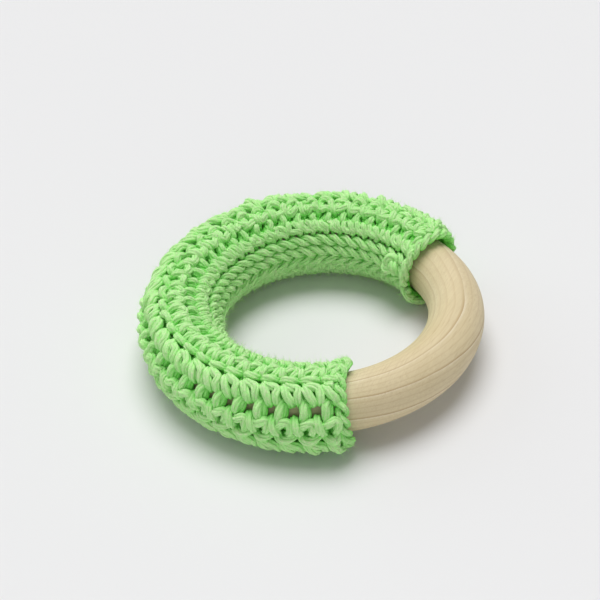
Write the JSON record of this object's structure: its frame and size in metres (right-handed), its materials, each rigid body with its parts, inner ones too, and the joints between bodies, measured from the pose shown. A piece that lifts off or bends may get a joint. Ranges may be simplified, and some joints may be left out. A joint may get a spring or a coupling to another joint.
{
  "type": "teething ring",
  "caption": "Round wooden teething ring for a baby to grip and chew, with a crocheted cotton cover sewn round the larger part of it; the cover slides round the wood.",
  "frame": {"origin": "middle of the bottom of the bounding box, on the plane that the ring lies on", "axes": "+Z along the ring's own axis, up; +X towards the middle of the bare stretch of wood; Y across the cover's widest part"},
  "size_m": [0.0732, 0.0766, 0.0177],
  "materials": {
    "bare_wood": "sanded pale hardwood, unvarnished, fine grain",
    "cotton_yarn": "soft light green cotton yarn, loosely plied, slight sheen",
    "seam_cotton": "the same cotton yarn, sewn as whip stitches"
  },
  "bodies": {
    "ring": {"wooden_ring": "bare_wood"},
    "cover": {"crochet_cover": "cotton_yarn", "seam_yarn": "seam_cotton"}
  },
  "joints": [
    {"name": "cover_slide", "type": "hinge", "parent": "ring", "child": "cover", "pos_m": [0.00165, 0, 0.0084], "axis": [0, 0, 1], "continuous": true}
  ]
}
